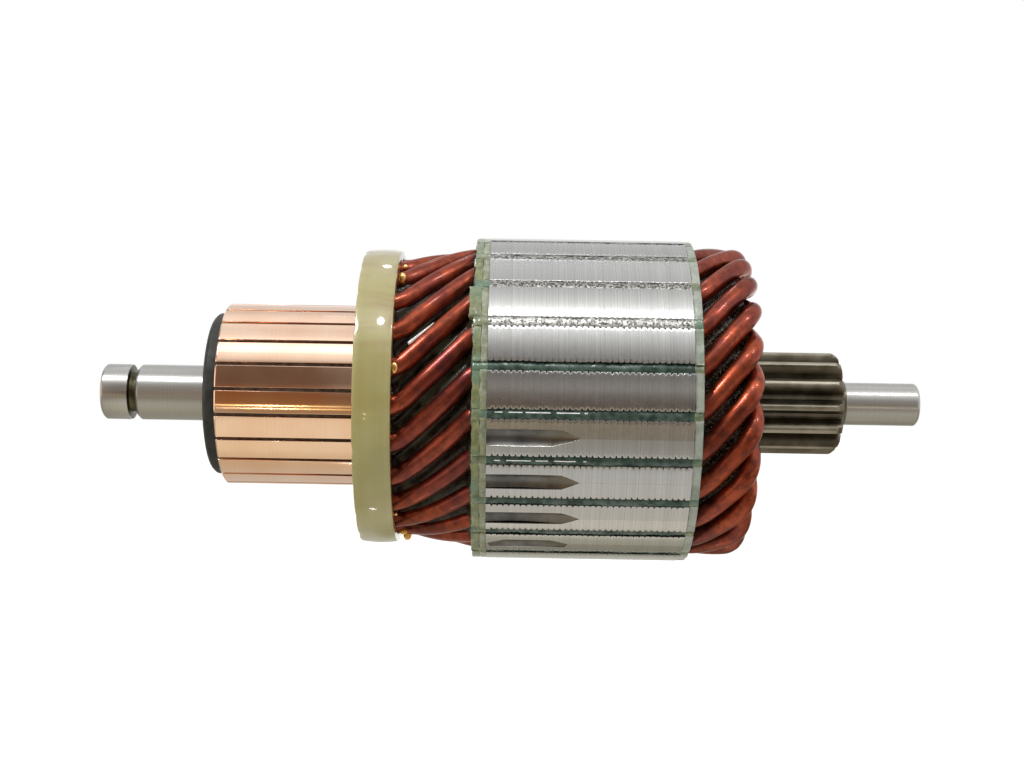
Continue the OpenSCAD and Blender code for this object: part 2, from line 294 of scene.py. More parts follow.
gear_steel, marks = turned_metal("hardened_gear_steel", 1500.0, 260.0)
rubbed = gear_steel.ramp(marks["Radius"], gear_tip_r - 0.16 * mm, gear_tip_r - 0.03 * mm)
worn = gear_steel.math("MULTIPLY", rubbed, gear_steel.ramp(marks["Patches"], 0.25, 0.6, 0.45, 1.0))
flank = gear_steel.graded(marks["Patches"], (0.35, (0.12, 0.105, 0.076)), (0.68, (0.21, 0.19, 0.145)))
gear_steel.finish(gear_steel.mix(worn, flank, (0.38, 0.35, 0.285)), marks["Patches"], 0.32, 0.46)
gear_steel.bump(marks["Patches"], 0.02 * mm)

shaft_x, shaft_end_x = span("shaft")
hub_x, riser_end_x = span("commutator_hub")
journal_r = mounts["commutator_end_journal"]["dims"]["r_mm"] * mm
spigot_r = mounts["drive_end_journal"]["dims"]["r_mm"] * mm
commutator_seat_r = 8 * mm
core_seat_r = 9 * mm
gear_length = 27.9 * mm
gear_x = mount_x("sun_gear") - gear_length / 2
gear_end_x = gear_x + gear_length
gear_chamfer = 1.7 * mm
gear_collar_r = 5.5 * mm
spigot_x = mount_x("drive_end_journal") - mounts["drive_end_journal"]["dims"]["length_mm"] * mm / 2
shaft_chamfer = 0.6 * mm
groove_w = 1.6 * mm
groove_x = mount_x("snap_ring_groove") - groove_w / 2
groove_end_x = groove_x + groove_w
groove_r = journal_r - 1.9 * mm
groove_chamfer = 0.8 * mm
centre_r = 0.2 * mm


def involute(angle):
    """The roll of an involute at a pressure angle."""
    return math.tan(angle) - angle


def half_tooth(radius):
    """Half the angle of a tooth at a radius."""
    at = math.acos(min(1, gear_base_r / radius))
    return math.pi / 2 / gear_teeth + involute(gear_pressure) - involute(at)


def tooth_side():
    """Angle and radius of the points from a gap's middle up to a tooth's middle."""
    gap = math.pi / gear_teeth
    root_a = half_tooth(gear_base_r) + 0.06
    points = [(-gap, gear_root_r), (-(gap + root_a) / 2, gear_root_r), (-root_a, gear_root_r)]
    points += [(-root_a + 0.035, gear_root_r + gear_fillet)]
    for step in range(6):
        radius = gear_base_r + (gear_tip_r - gear_tip_round - gear_base_r) * step / 5
        points.append((-half_tooth(radius), radius))
    points.append((-half_tooth(gear_tip_r) * 0.78, gear_tip_r))
    return points


def gear_outline():
    """Angle and radius of the points all round the gear."""
    side = tooth_side()
    tooth = side + [(0, gear_tip_r)] + [(-a, r) for a, r in reversed(side[1:])]
    turn = 2 * math.pi / gear_teeth
    return [(gear_phase + t * turn + a, r) for t in range(gear_teeth) for a, r in tooth]


outline = gear_outline()


def round_ring(x, radius):
    """A round section with as many points as the gear has."""
    return [around(x, radius, angle) for angle, r in outline]


def gear_ring(x, limit):
    """The gear's outline with its teeth cut down to a limiting radius."""
    return [around(x, min(r, limit), angle) for angle, r in outline]


near_profile = softened([
    (shaft_x, centre_r),
    (shaft_x, journal_r - shaft_chamfer),
    (shaft_x + shaft_chamfer, journal_r),
    (groove_x, journal_r),
    (groove_x, groove_r),
    (groove_end_x, groove_r),
    (groove_end_x, journal_r - groove_chamfer),
    (groove_end_x + groove_chamfer, journal_r),
    (hub_x, journal_r),
    (hub_x, commutator_seat_r),
    (riser_end_x + 1.3 * mm, commutator_seat_r),
    (riser_end_x + 2.3 * mm, core_seat_r),
    (gear_x - 0.3 * mm, core_seat_r),
], 0.18 * mm)
far_profile = softened([
    (gear_end_x, gear_collar_r + 0.5 * mm),
    (gear_end_x + 0.1 * mm, gear_collar_r),
    (spigot_x, gear_collar_r),
    (spigot_x + 0.1 * mm, spigot_r),
    (shaft_end_x - shaft_chamfer, spigot_r),
    (shaft_end_x, spigot_r - shaft_chamfer),
    (shaft_end_x, centre_r),
], 0.25 * mm)
tooth_end = softened([
    (gear_x + 0.1 * mm, gear_tip_r - 1.0 * mm),
    (gear_x + 0.9 * mm, gear_tip_r),
    (gear_end_x - gear_chamfer, gear_tip_r),
    (gear_end_x - 0.35 * mm, gear_tip_r - 1.0 * mm),
    (gear_end_x, gear_tip_r - gear_chamfer - 0.9 * mm),
], 0.4 * mm)
shaft_rings = [round_ring(x, r) for x, r in near_profile]
shaft_rings += [gear_ring(x, limit) for x, limit in tooth_end]
shaft_rings += [round_ring(x, r) for x, r in far_profile]
verts, faces = loft(shaft_rings, closed=False)
steels = [ground_steel, gear_steel, shaded_oily_steel]
shaft = piece("armature_shaft", verts, faces, steels, ["shaft"])
for face in shaft.data.polygons:
    middle = face.center
    if gear_x - 0.2 * mm < middle.x < spigot_x:
        face.material_index = steels.index(gear_steel)
    # Faces down in the snap-ring groove take that dark olive steel: painted shade in the recess over an
    # oily tone.
    elif groove_x - 0.1 * mm < middle.x < groove_end_x + 0.1 * mm:
        if math.hypot(middle.y, middle.z) < journal_r - 0.3 * mm:
            face.material_index = steels.index(shaded_oily_steel)

# Core: thin steel sheets punched with slots, stacked, pressed on the shaft and turned true.
# Each sheet's punched edge is a little rounded, which leaves a row of scallops along the slots.
def radius_of(node):
    """The outer radius of a round node."""
    low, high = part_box(node)
    return (high.z - low.z) / 2


slots = 23
slot_turn = 2 * math.pi / slots
slot_phase = math.radians(-4.6)
core_x, core_end_x = span("core_laminations")
core_r = radius_of("core_laminations")
sheets = 35
slot_half_w = 2.55 * mm
slot_mouth = 2 * mm
slot_floor_r = 25.7 * mm
slot_turn_r = 28.25 * mm
slot_top_r = core_r - 1.7 * mm
cut_half_w = 1.75 * mm
cut_bevel = 0.7 * mm
cut_disc_r = 65 * mm
cut_lip = 0.10 * mm
lip_middle, lip_reach = 8 * mm, 9 * mm
sliver = 0.01 * mm

# The cut teeth with their depth and deepest station in millimetres, and walls with a bevel of their own
cut_teeth = {0: (1.3, 7.2), 1: (1.4, 6.6), 2: (1.45, 6.7), 3: (0.62, 9.3)}
cut_bevels = {(0, -1): 0.95 * mm, (3, 1): 0.42 * mm, (3, -1): 0.10 * mm}


def slot_angle(k):
    """The angle of a slot's middle."""
    return slot_phase - k * slot_turn


def smeared(k):
    """True for the slots on the upper side, where the last turning dragged steel over the mouths."""
    return 17 <= k % slots <= 21


def disc_depth(tooth, x):
    """Depth of a balance cut's middle line at a station."""
    depth, centre = cut_teeth[tooth]
    return max(0.0, depth * mm - (x - core_x - centre * mm) ** 2 / 2 / cut_disc_r)


def cut_edge(tooth, x, side):
    """Half the width of a balance cut at a station, drawn in by the disc's bevelled rim, and that bevel."""
    bevel = cut_bevels.get((tooth, 1 if side > 0 else -1), cut_bevel)
    return cut_half_w * min(1.0, disc_depth(tooth, x) / bevel), bevel


# A tooth's edge, as insets with their share of the gap between two sheets and of the edge's roundness
tooth_half_w = core_r * slot_turn / 2 - slot_mouth / 2
edge_rows = [(0.0, 1.0, 1.0), (0.1, 0.8, 0.15), (0.28, 0.35, 0.0), (0.5, 0.05, 0.0), (1.0, 0.0, 0.0)]
edge_length = 1.0 * mm
edge_round = 0.03 * mm


def tooth_face(k, x, radius, gap, retreat, cut):
    """Offset and radius of the points across a tooth, from its upper edge to its lower one."""
    edge = []
    for inset, share, rounding in edge_rows:
        shift = retreat * (1 - inset * mm / edge_length)
        edge.append((tooth_half_w - inset * mm - shift, radius - gap * share - edge_round * rounding))
    if not cut:
        upper = edge + [(2.0 * mm, radius), (0.65 * mm, radius)]
        return upper + [(-offset, r) for offset, r in reversed(upper)]
    halves = []
    depth = disc_depth(k, x)
    lip_share = max(0.2, 1 - ((x - core_x - lip_middle) / lip_reach) ** 2)
    for side in (1, -1):
        width, bevel = cut_edge(k, x, side)
        width = max(width, sliver)
        wall = max(cut_lip + sliver, depth - max(bevel, cut_bevel))
        lip = min(cut_lip * lip_share, depth / 3)
        half = edge + [(2.1 * mm, radius), (width + lip, radius), (width, radius - lip)]
        half += [(width, radius - wall), (width * 0.55, radius - wall * 0.2 - depth * 0.8)]
        halves.append([(side * offset, r) for offset, r in half])
    return halves[0] + [(0.0, radius - depth)] + halves[1][::-1]


def slot_and_tooth(k, x, lip, face):
    """One slot and the tooth below it, as points of a sheet's outline at a station."""
    wall = [(slot_turn_r, slot_half_w), (slot_top_r, slot_half_w)]
    wall += [(slot_top_r + 0.1 * mm, lip), (core_r - 0.6 * mm, lip)]
    points = [around(x, slot_floor_r, slot_angle(k))]
    points += [around(x, r, slot_angle(k) - math.asin(half / r)) for r, half in wall]
    points += [around(x, r, slot_angle(k + 0.5) + offset / core_r) for offset, r in face]
    points += [around(x, r, slot_angle(k + 1) + math.asin(half / r)) for r, half in reversed(wall)]
    return points


def capped_stack(rings, bore_r):
    """A skin over slotted rings, with both end faces filled in round a bore."""
    verts, faces = tube(rings)
    count = len(rings[0])
    last = len(verts) - count
    bore_count = 96
    turn = 2 * math.pi / bore_count
    bores = []
    for ring in (rings[0], rings[-1]):
        bores.append(len(verts))
        verts += [around(ring[0][0], bore_r, -i * turn) for i in range(bore_count)]
    faces += ring_faces(bores[1], bores[0], bore_count)
    for first, bore, flip in ((0, bores[0], False), (last, bores[1], True)):
        rim = list(range(first, first + count))
        hole = list(range(bore, bore + bore_count))
        index = rim + hole
        flat = [[Vector((verts[i][1], verts[i][2], 0)) for i in part] for part in (rim, hole)]
        for triangle in tessellate_polygon(flat):
            corners = [index[i] for i in triangle]
            a, b, c = (Vector(verts[i]) for i in corners)
            if ((b - a).cross(c - a).x > 0) != flip:
                corners.reverse()
            faces.append(tuple(corners))
    return verts, faces


draw = random.Random(7)
sheet_t = (core_end_x - core_x) / sheets
shoulder = 0.2 * mm
smeared_share = 0.35
core_rings = []
for sheet in range(sheets):
    start = core_x + sheet * sheet_t
    radius = core_r - draw.uniform(0.0, 0.012) * mm
    jitters = [draw.uniform(-0.06, 0.06) * mm for k in range(slots)]
    gaps = [draw.uniform(0.14, 0.44) * mm for k in range(slots)]
    # Stations across the sheet, with their share of the gap and the edge's setback in millimetres
    stations = [(start, 1.0, 0.25), (start + shoulder, 0.06, 0.05), (start + sheet_t / 2, 0.0, 0.0)]
    stations.append((start + sheet_t - shoulder, 0.06, 0.05))
    if sheet == 0:
        stations[0] = (start, 0.1, 0.05)
    if sheet == sheets - 1:
        stations.append((core_end_x, 0.1, 0.05))
    for x, open_share, back in stations:
        ring = []
        for k in range(slots):
            open_edge = smeared_share if smeared(k) and smeared(k + 1) else 1.0
            retreat = (back * mm + jitters[k]) * open_edge
            face = tooth_face(k, x, radius, gaps[k] * open_share * open_edge, retreat, k in cut_teeth)
            ring += slot_and_tooth(k, x, slot_mouth / 2 + retreat, face)
        core_rings.append(ring)

sheet_steel, marks = turned_metal("turned_sheet_steel", 3600.0, 90.0, grain=0.85)
waves = sheet_steel.effect(turned, Lines=420.0, Patches=700.0)
streak = sheet_steel.math(
    "MULTIPLY_ADD", waves["Lines"], 0.4, sheet_steel.math("MULTIPLY", marks["Lines"], 0.6)
)
inside = sheet_steel.ramp(marks["Radius"], core_r - 0.28 * mm, core_r - 0.02 * mm)
into_core = sheet_steel.math("SUBTRACT", marks["Station"], core_x)
in_sheet = sheet_steel.math("FRACT", sheet_steel.math("DIVIDE", into_core, sheet_t))
from_joint = sheet_steel.math("ABSOLUTE", sheet_steel.math("SUBTRACT", in_sheet, 0.5))
joint = sheet_steel.math(
    "MULTIPLY", sheet_steel.ramp(from_joint, 0.45, 0.495),
    sheet_steel.ramp(waves["Lines"], 0.38, 0.68, 0.0, 0.5),
)
face_colour = sheet_steel.graded(streak, (0.32, (0.41, 0.41, 0.405)), (0.68, (0.53, 0.53, 0.525)))
face_colour = sheet_steel.mix(joint, face_colour, (0.15, 0.15, 0.145))
face_colour = sheet_steel.mix(inside, (0.030, 0.042, 0.036), face_colour)
sheet_steel.finish(face_colour, waves["Patches"], 0.22, 0.29)
sheet_steel.bump(streak, 0.008 * mm)

cut_steel, marks = turned_metal("milled_cut_steel", 900.0, 300.0)
heat = cut_steel.ramp(marks["Station"], core_x + 9 * mm, core_x + 19 * mm, 0.0, 0.55)
grey = cut_steel.graded(marks["Patches"], (0.35, (0.10, 0.10, 0.097)), (0.65, (0.17, 0.168, 0.16)))
cut_steel.finish(cut_steel.mix(heat, grey, (0.21, 0.17, 0.115)), marks["Lines"], 0.28, 0.42)
cut_steel.bump(marks["Lines"], 0.01 * mm)

verts, faces = capped_stack(core_rings, core_seat_r)
core_looks = [sheet_steel, cut_steel]
core = piece("core_stack", verts, faces, core_looks, ["core_laminations"], sharp_deg=40)
for face in core.data.polygons:
    middle = face.center
    if core_x + sliver < middle.x < core_end_x - sliver:
        angle = math.atan2(middle.z, -middle.y)
        for tooth in cut_teeth:
            offset = (angle - slot_angle(tooth + 0.5)) * core_r
            if disc_depth(tooth, middle.x) > sliver:
                if abs(offset) < cut_edge(tooth, middle.x, offset)[0]:
                    face.material_index = core_looks.index(cut_steel)
rims = {}
for face in core.data.polygons:
    for key in face.edge_keys:
        rims.setdefault(key, set()).add(face.material_index)
for edge in core.data.edges:
    if len(rims[edge.key]) > 1:
        edge.use_edge_sharp = True

# Fibre plates: punched insulating sheets on both ends of the core, soaked in varnish.
# Two lie on the commutator end, yellow over pale green, and one on the drive end.
plate_r = radius_of("outer_fibre_plate")
film, given, result = new_group(
    "varnish_film", "ShaderNodeTree", {"Scale": 200.0, "Draw": 1.0}, dict.fromkeys(("Cloud", "Fleck"), 0.0)
)
draw_out = film.add("ShaderNodeCombineXYZ", X=given["Draw"], Y=1.0, Z=1.0)
drawn = film.add("ShaderNodeVectorMath", {"operation": "MULTIPLY"})
film.feed(drawn.inputs[0], film.place())
film.feed(drawn.inputs[1], draw_out.outputs[0])
cloud = film.add("ShaderNodeTexNoise", Vector=drawn.outputs[0], Scale=given["Scale"], Detail=3.0)
fleck = film.add(
    "ShaderNodeTexNoise", Vector=drawn.outputs[0], Scale=film.math("MULTIPLY", given["Scale"], 6.0),
    Detail=2.0, Roughness=0.7,
)
film.feed(result["Cloud"], cloud.outputs["Fac"])
film.feed(result["Fleck"], fleck.outputs["Fac"])


def coated(look, scale, rough, height):
    """Gives a look the patchy gloss and the lumps of a coat of varnish, and returns its pattern."""
    coat = look.effect(film, Scale=scale)
    look.set(Roughness=look.ramp(coat["Fleck"], 0.3, 0.7, *rough))
    look.bump(look.math("MULTIPLY_ADD", coat["Fleck"], 0.35, coat["Cloud"]), height)
    return coat


def varnished(
    name, dark, pale, scale, rough=(0.16, 0.4), height=0.05 * mm, stain=None, crumbs=None, **sockets
):
    """Insulation under a patchy coat of varnish, with stains and crumbs if it has colours for them."""
    look = Look(name, **sockets)
    coat = coated(look, scale, rough, height)
    colour = look.graded(coat["Cloud"], (0.35, dark), (0.66, pale))
    if stain:
        blots = look.effect(film, Scale=scale * 0.45)
        colour = look.mix(look.ramp(blots["Cloud"], 0.50, 0.62, 0.0, 0.85), colour, stain)
    if crumbs:
        colour = look.graded(coat["Fleck"], (0.58, colour), (0.64, crumbs))
    look.set(Base_Color=colour)
    return look


fibre_gloss = {"Coat_Weight": 0.4, "Coat_Roughness": 0.12, "Coat_IOR": 1.4}
yellow_fibre = varnished(
    "yellow_fibre", (0.105, 0.125, 0.050), (0.25, 0.26, 0.115), 520.0, height=0.16 * mm,
    stain=(0.13, 0.21, 0.13), **fibre_gloss,
)
green_fibre = varnished(
    "green_fibre", (0.165, 0.19, 0.12), (0.35, 0.365, 0.27), 560.0, height=0.14 * mm,
    stain=(0.22, 0.23, 0.115), **fibre_gloss,
)
grey_fibre = varnished(
    "grey_fibre", (0.27, 0.30, 0.25), (0.38, 0.41, 0.35), 520.0, height=0.08 * mm,
    stain=(0.21, 0.26, 0.20), **fibre_gloss,
)


def fibre_plate(name, node, look, seed, bent_tooth=None):
    """A slotted plate with a worn, uneven rim, and at most one tooth bent off the core."""
    dice = random.Random(seed)
    start, end = span(node)
    ease = 0.18 * mm
    bend = 1.1 * mm
    bend_from = 33.5 * mm
    most_points = 40
    rims = [[dice.uniform(-0.16, 0.04) * mm for row in range(most_points)] for k in range(slots)]
    fray = [[dice.uniform(-0.18, 0.14) * mm for row in range(most_points)] for k in range(slots)]
    rings = []
    for x, drop in (
        (start, ease), (start + 0.06 * mm, 0.4 * ease), (start + ease, 0.0), ((start + end) / 2, 0.0),
        (end - ease, 0.0), (end, 0.4 * ease),
    ):
        ring = []
        for k in range(slots):
            face = tooth_face(k, x, plate_r - drop, 0.0, rims[k][0], False)
            face = [(offset, r + rims[k][row]) for row, (offset, r) in enumerate(face)]
            points = slot_and_tooth(k, x, slot_mouth / 2 + rims[k][0], face)
            for row, (px, py, pz) in enumerate(points):
                out = max(0.0, math.hypot(py, pz) - bend_from) / (plate_r - bend_from)
                swing = out * (1 - (x - start) / (end - start))
                shift = fray[k][row] * swing
                if k == bent_tooth:
                    shift -= bend * swing
                ring.append((px + shift, py, pz))
        rings.append(ring)
    verts, faces = capped_stack(rings, core_seat_r)
    return piece(name, verts, faces, [look], [node], sharp_deg=50)


fibre_plate("commutator_end_plate_outer", "outer_fibre_plate", yellow_fibre, 11, 20)
fibre_plate("commutator_end_plate_inner", "inner_fibre_plate", green_fibre, 12)
fibre_plate("drive_end_plate", "drive_fibre_plate", grey_fibre, 13)

# Slot liners: folded insulating paper in each slot, in the frame already.
# Dipping fills the slot mouths over them with dark green varnish that sets unevenly.
liner_paper = varnished(
    "liner_paper", (0.016, 0.034, 0.026), (0.055, 0.100, 0.076), 650.0,
    rough=(0.12, 0.40), height=0.10 * mm, Coat_Roughness=0.13, Specular_IOR_Level=0.3,
)
runs = liner_paper.effect(film, Scale=380.0)
liner_paper.set(Coat_Weight=liner_paper.ramp(runs["Cloud"], 0.44, 0.52))
smeared_varnish = Look("smeared_varnish")
coated(smeared_varnish, 700.0, (0.2, 0.4), 0.06 * mm)
specks = smeared_varnish.effect(film, Scale=340.0)
fuller = smeared_varnish.ramp(smeared_varnish.axes()["Z"], 19 * mm, 23 * mm, 0.02, -0.04)
dragged = smeared_varnish.ramp(smeared_varnish.math("ADD", specks["Fleck"], fuller), 0.42, 0.53)
smeared_varnish.set(
    Metallic=dragged, Base_Color=smeared_varnish.mix(dragged, (0.05, 0.05, 0.04), (0.44, 0.43, 0.41))
)
dress(frame["nodes"]["slot_liners"].data, [liner_paper])
plates_x = span("outer_fibre_plate")[0]
slot_end_x = span("drive_fibre_plate")[1]
mouth_floor_r = slot_top_r + 0.05 * mm
mouth_floor_half_w = 0.9 * mm
mouth_half_w = slot_mouth / 2 + 0.1 * mm
mouth_rows = 5
mouth_offsets = [row / mouth_rows for row in range(-mouth_rows, mouth_rows + 1)]
sag, sag_middle = 0.30 * mm, 0.35
flush_sag = 0.10 * mm

# The slots with a row of painted highlight dashes on their varnish, and the row's place across the mouth
highlight_dash_rows = {0: 3, 1: 5}
highlight_dash_from, highlight_dash_to = core_x + 1.8 * mm, core_x + 21.5 * mm
# A near-white varnish look: painted highlight, standing in for the lamp mirrored in wet varnish.
pale_run = varnished("pale_run", (0.75, 0.78, 0.74), (0.95, 0.96, 0.94), 700.0, Coat_Weight=0.5)
soaked_fibre = varnished(
    "soaked_fibre", (0.085, 0.12, 0.060), (0.22, 0.245, 0.13), 520.0, height=0.12 * mm,
    stain=(0.10, 0.18, 0.125), rough=(0.10, 0.35), Coat_Weight=0.6, Coat_Roughness=0.08,
)


def mouth_varnish(k, dice):
    """Rings of one mouth's filling: an uneven bead that bulges a little between the two lips."""
    rings = []
    level = core_r - dice.uniform(0.10, 0.32) * mm * (0.3 if smeared(k) else 1.0)
    steps = 150
    drift = 0.0
    tilt = 0.0
    for i in range(steps + 1):
        x = plates_x + (slot_end_x - plates_x) * i / steps
        drift = 0.85 * drift + dice.uniform(-0.05, 0.05) * mm
        tilt = 0.8 * tilt + dice.uniform(-0.04, 0.04) * mm
        top = level + drift - (0.2 * mm if i in (0, steps) else 0.0)
        ring = []
        for offset in mouth_offsets:
            drop = flush_sag * offset ** 2 if smeared(k) else sag * (offset - sag_middle) ** 2
            height = top - drop + tilt * offset + dice.uniform(-0.015, 0.015) * mm
            ring.append(around(x, height, slot_angle(k) - offset * mouth_half_w / core_r))
        for offset in (1, -1):
            ring.append(around(x, mouth_floor_r, slot_angle(k) - offset * mouth_floor_half_w / core_r))
        rings.append(ring)
    return rings


dice = random.Random(21)
verts, faces = [], []
for k in range(slots):
    strip_verts, strip_faces = loft(mouth_varnish(k, dice), closed=False)
    base = len(verts)
    verts += strip_verts
    faces += [tuple(base + i for i in face) for face in strip_faces]
mouth_looks = [liner_paper, soaked_fibre, smeared_varnish, pale_run]
mouths = piece("slot_varnish", verts, faces, mouth_looks, [], sharp_deg=60)
for face in mouths.data.polygons:
    middle = face.center
    angle = math.atan2(middle.z, -middle.y)
    nearest = round((slot_phase - angle) / slot_turn)
    look = liner_paper
    if not core_x < middle.x < core_end_x:
        look = soaked_fibre
    elif smeared(nearest):
        look = smeared_varnish
    # Faces in the dash row take the white look, as painted highlight dashes.
    elif nearest in highlight_dash_rows and highlight_dash_from < middle.x < highlight_dash_to:
        low = (highlight_dash_rows[nearest] - mouth_rows) / mouth_rows * mouth_half_w
        down = (slot_angle(nearest) - angle) * core_r
        dash = math.sin(middle.x / (0.52 * mm) + nearest) + math.sin(middle.x / (0.83 * mm))
        if low < down < low + mouth_half_w / mouth_rows and dash > -0.8:
            look = pale_run
    face.material_index = mouth_looks.index(look)

# Hairpin coils: thick copper wire under red enamel, each bent to a head at the drive end.
# The legs lie in two layers, four slots apart, and their bare ends are brazed into the risers.
wire_r = 2.1 * mm
coil_span = 4
bar_shift = 2
layer_step = 5.0 * mm
outer_r = slot_top_r - 0.45 * mm - wire_r
inner_r = outer_r - layer_step
head_r_out = outer_r + 0.6 * mm
head_r_in = inner_r - 0.3 * mm
riser_r_out = outer_r - 3.05 * mm
riser_r_in = riser_r_out - layer_step
riser_x = span("coil_01")[0]
head_x = span("coil_01")[1] - wire_r
head_half = math.radians(5)
layers_r = (outer_r + inner_r) / 2
corner_in = 1.0 * mm
wire_bend = 2.8 * mm
band_run, plate_run = 0.6 * mm, -1.2 * mm
run_bend, plate_bend = 4.0 * mm, 3.2 * mm
head_bend = 4.2 * mm
ease_turn = math.radians(3.8)
slot_run, ease_run = 1.2 * mm, 1.6 * mm
bend_steps = 12
point_gap = 1.2 * mm


def coil_corners(k, dice):
    """A coil's corners as angle, station, radius and bend length, from riser to riser."""
    out_a, in_a = slot_angle(k), slot_angle(k - coil_span)
    head_a = (out_a + in_a) / 2
    out_bar, in_bar = slot_angle(k + bar_shift), slot_angle(k - coil_span - bar_shift)
    head = head_x + (0.15 + 0.3 * math.sin(head_a) + dice.uniform(-0.1, 0.1)) * mm
    lean = math.radians(dice.uniform(-1.9, -0.9))
    lift = dice.uniform(-0.08, 0.12) * mm
    return [
        (out_bar, riser_x, riser_r_out, 0.0),
        (out_bar, riser_end_x + band_run, riser_r_out - 0.15 * mm, run_bend),
        (out_a, plates_x - plate_run, outer_r - 0.15 * mm, plate_bend),
        (out_a, slot_end_x - slot_run, outer_r + 0.25 * mm, 1.5 * mm),
        (out_a + ease_turn, slot_end_x + ease_run, outer_r + 0.6 * mm, 2.5 * mm),
        (head_a - head_half + lean, head, head_r_out + lift, head_bend),
        (head_a + head_half + lean, head, head_r_in, head_bend),
        (in_a - ease_turn, slot_end_x + ease_run, inner_r, 2.5 * mm),
        (in_a, slot_end_x - slot_run, inner_r, 1.5 * mm),
        (in_a, plates_x + corner_in, inner_r, wire_bend),
        (in_bar, riser_end_x - corner_in, riser_r_in, wire_bend),
        (in_bar, riser_x, riser_r_in, 0.0),
    ]


def bent_path(corners):
    """Points along a coil, with its corners bent in the unrolled middle surface."""
    flat = [Vector((angle * layers_r, x, r)) for angle, x, r, length in corners]
    points = [flat[0]]
    for i in range(1, len(flat) - 1):
        back, on = flat[i - 1] - flat[i], flat[i + 1] - flat[i]
        start = flat[i] + back * min(0.5, corners[i][3] / back.length)
        end = flat[i] + on * min(0.5, corners[i][3] / on.length)
        gap = start - points[-1]
        between = max(1, int(gap.length / point_gap)) if abs(gap.x) > wire_r else 1
        points += [points[-1] + gap * j / between for j in range(1, between)]
        for j in range(bend_steps + 1):
            t = j / bend_steps
            points.append(start * (1 - t) ** 2 + flat[i] * 2 * t * (1 - t) + end * t ** 2)
    points.append(flat[-1])
    return [around(p.y, p.z, p.x / layers_r) for p in points]


def sweep_tree(material):
    """Geometry Nodes that sweep a round wire along a path of edges, and mark the way that it runs."""
    nodes, given, result = new_group(
        "wire_sweep", "GeometryNodeTree", {"Path": None, "Wire Radius": 0.0, "Sides": 0}, {"Wire": None}
    )
    path = nodes.add("GeometryNodeMeshToCurve", Mesh=given["Path"])
    mark = nodes.add(
        "GeometryNodeStoreNamedAttribute", {"data_type": "FLOAT_VECTOR"}, Geometry=path.outputs["Curve"],
        Name="wire_run", Value=nodes.add("GeometryNodeInputTangent").outputs["Tangent"],
    )
    section = nodes.add(
        "GeometryNodeCurvePrimitiveCircle", Radius=given["Wire Radius"], Resolution=given["Sides"]
    )
    sweep = nodes.add(
        "GeometryNodeCurveToMesh", Curve=mark.outputs["Geometry"], Profile_Curve=section.outputs["Curve"],
        Fill_Caps=True,
    )
    real = nodes.add("GeometryNodeRealizeInstances", Geometry=sweep.outputs["Mesh"])
    finish = nodes.add("GeometryNodeSetMaterial", Geometry=real.outputs["Geometry"], Material=material)
    nodes.feed(result["Wire"], finish.outputs["Geometry"])
    return nodes.tree


def plain_mesh(obj):
    """The mesh that an object's modifiers make. They are removed then, and so is the object."""
    bpy.context.scene.collection.objects.link(obj)
    depsgraph = bpy.context.evaluated_depsgraph_get()
    mesh = bpy.data.meshes.new_from_object(obj.evaluated_get(depsgraph), depsgraph=depsgraph)
    obj.modifiers.clear()
    bpy.data.objects.remove(obj)
    return mesh


def grown(name, verts, edges, tree, values, sizes=()):
    """The plain mesh that a Geometry Nodes tree makes from points, edges and values by input."""
    source = bpy.data.meshes.new(name)
    source.from_pydata(verts, edges, [])
    if sizes:
        own = source.attributes.new("bead_size", "FLOAT_VECTOR", "POINT")
        for point, size in zip(own.data, sizes):
            point.vector = size
    obj = bpy.data.objects.new(name + "_source", source)
    modifier = obj.modifiers.new("shape", "NODES")
    modifier.node_group = tree
    for socket in tree.interface.items_tree:
        if socket.name in values:
            modifier[socket.identifier] = values[socket.name]
    mesh = plain_mesh(obj)
    mesh.name = name
    return mesh


enamel = Look(
    "red_enamel", Metallic=0.9, Anisotropic=0.7, Anisotropic_Rotation=0.25, Coat_Weight=0.6,
    Coat_Roughness=0.08, Coat_IOR=1.4, Specular_Tint=(0.75, 0.45, 0.40),
)
enamel.set(Tangent=enamel.add("ShaderNodeAttribute", {"attribute_name": "wire_run"}).outputs["Vector"])
coat = enamel.effect(film, Scale=120.0)
batch = enamel.effect(film, Scale=48.0)
mottle = enamel.effect(film, Scale=520.0)
tint = enamel.graded(coat["Cloud"], (0.35, (0.15, 0.022, 0.015)), (0.65, (0.36, 0.066, 0.025)))
tint = enamel.mix(enamel.ramp(batch["Cloud"], 0.50, 0.64, 0.0, 0.6), tint, (0.45, 0.080, 0.021))
tint = enamel.mix(enamel.ramp(batch["Cloud"], 0.34, 0.46, 0.6, 0.0), tint, (0.12, 0.020, 0.022))
soot = enamel.ramp(enamel.math("MULTIPLY", coat["Fleck"], coat["Cloud"]), 0.33, 0.42, 0.0, 0.55)
dirt = enamel.math("MAXIMUM", soot, enamel.ramp(mottle["Cloud"], 0.42, 0.62, 0.0, 0.5))
enamel.finish(enamel.mix(dirt, tint, (0.06, 0.013, 0.012)), coat["Fleck"], 0.29, 0.37)
enamel.bump(enamel.math("MULTIPLY_ADD", mottle["Cloud"], 0.4, coat["Cloud"]), 0.02 * mm)

wire_tree = sweep_tree(enamel.material)
wire_sizes = {"Wire Radius": wire_r, "Sides": 20}
dice = random.Random(5)
for k in range(1, slots + 1):
    points = bent_path(coil_corners(k, dice))
    edges = [(i, i + 1) for i in range(len(points) - 1)]
    number = f"{k:02d}"
    mesh = grown("hairpin_" + number, points, edges, wire_tree, wire_sizes)
    finished("hairpin_" + number, mesh, [], ["coil_" + number], sharp_deg=60)

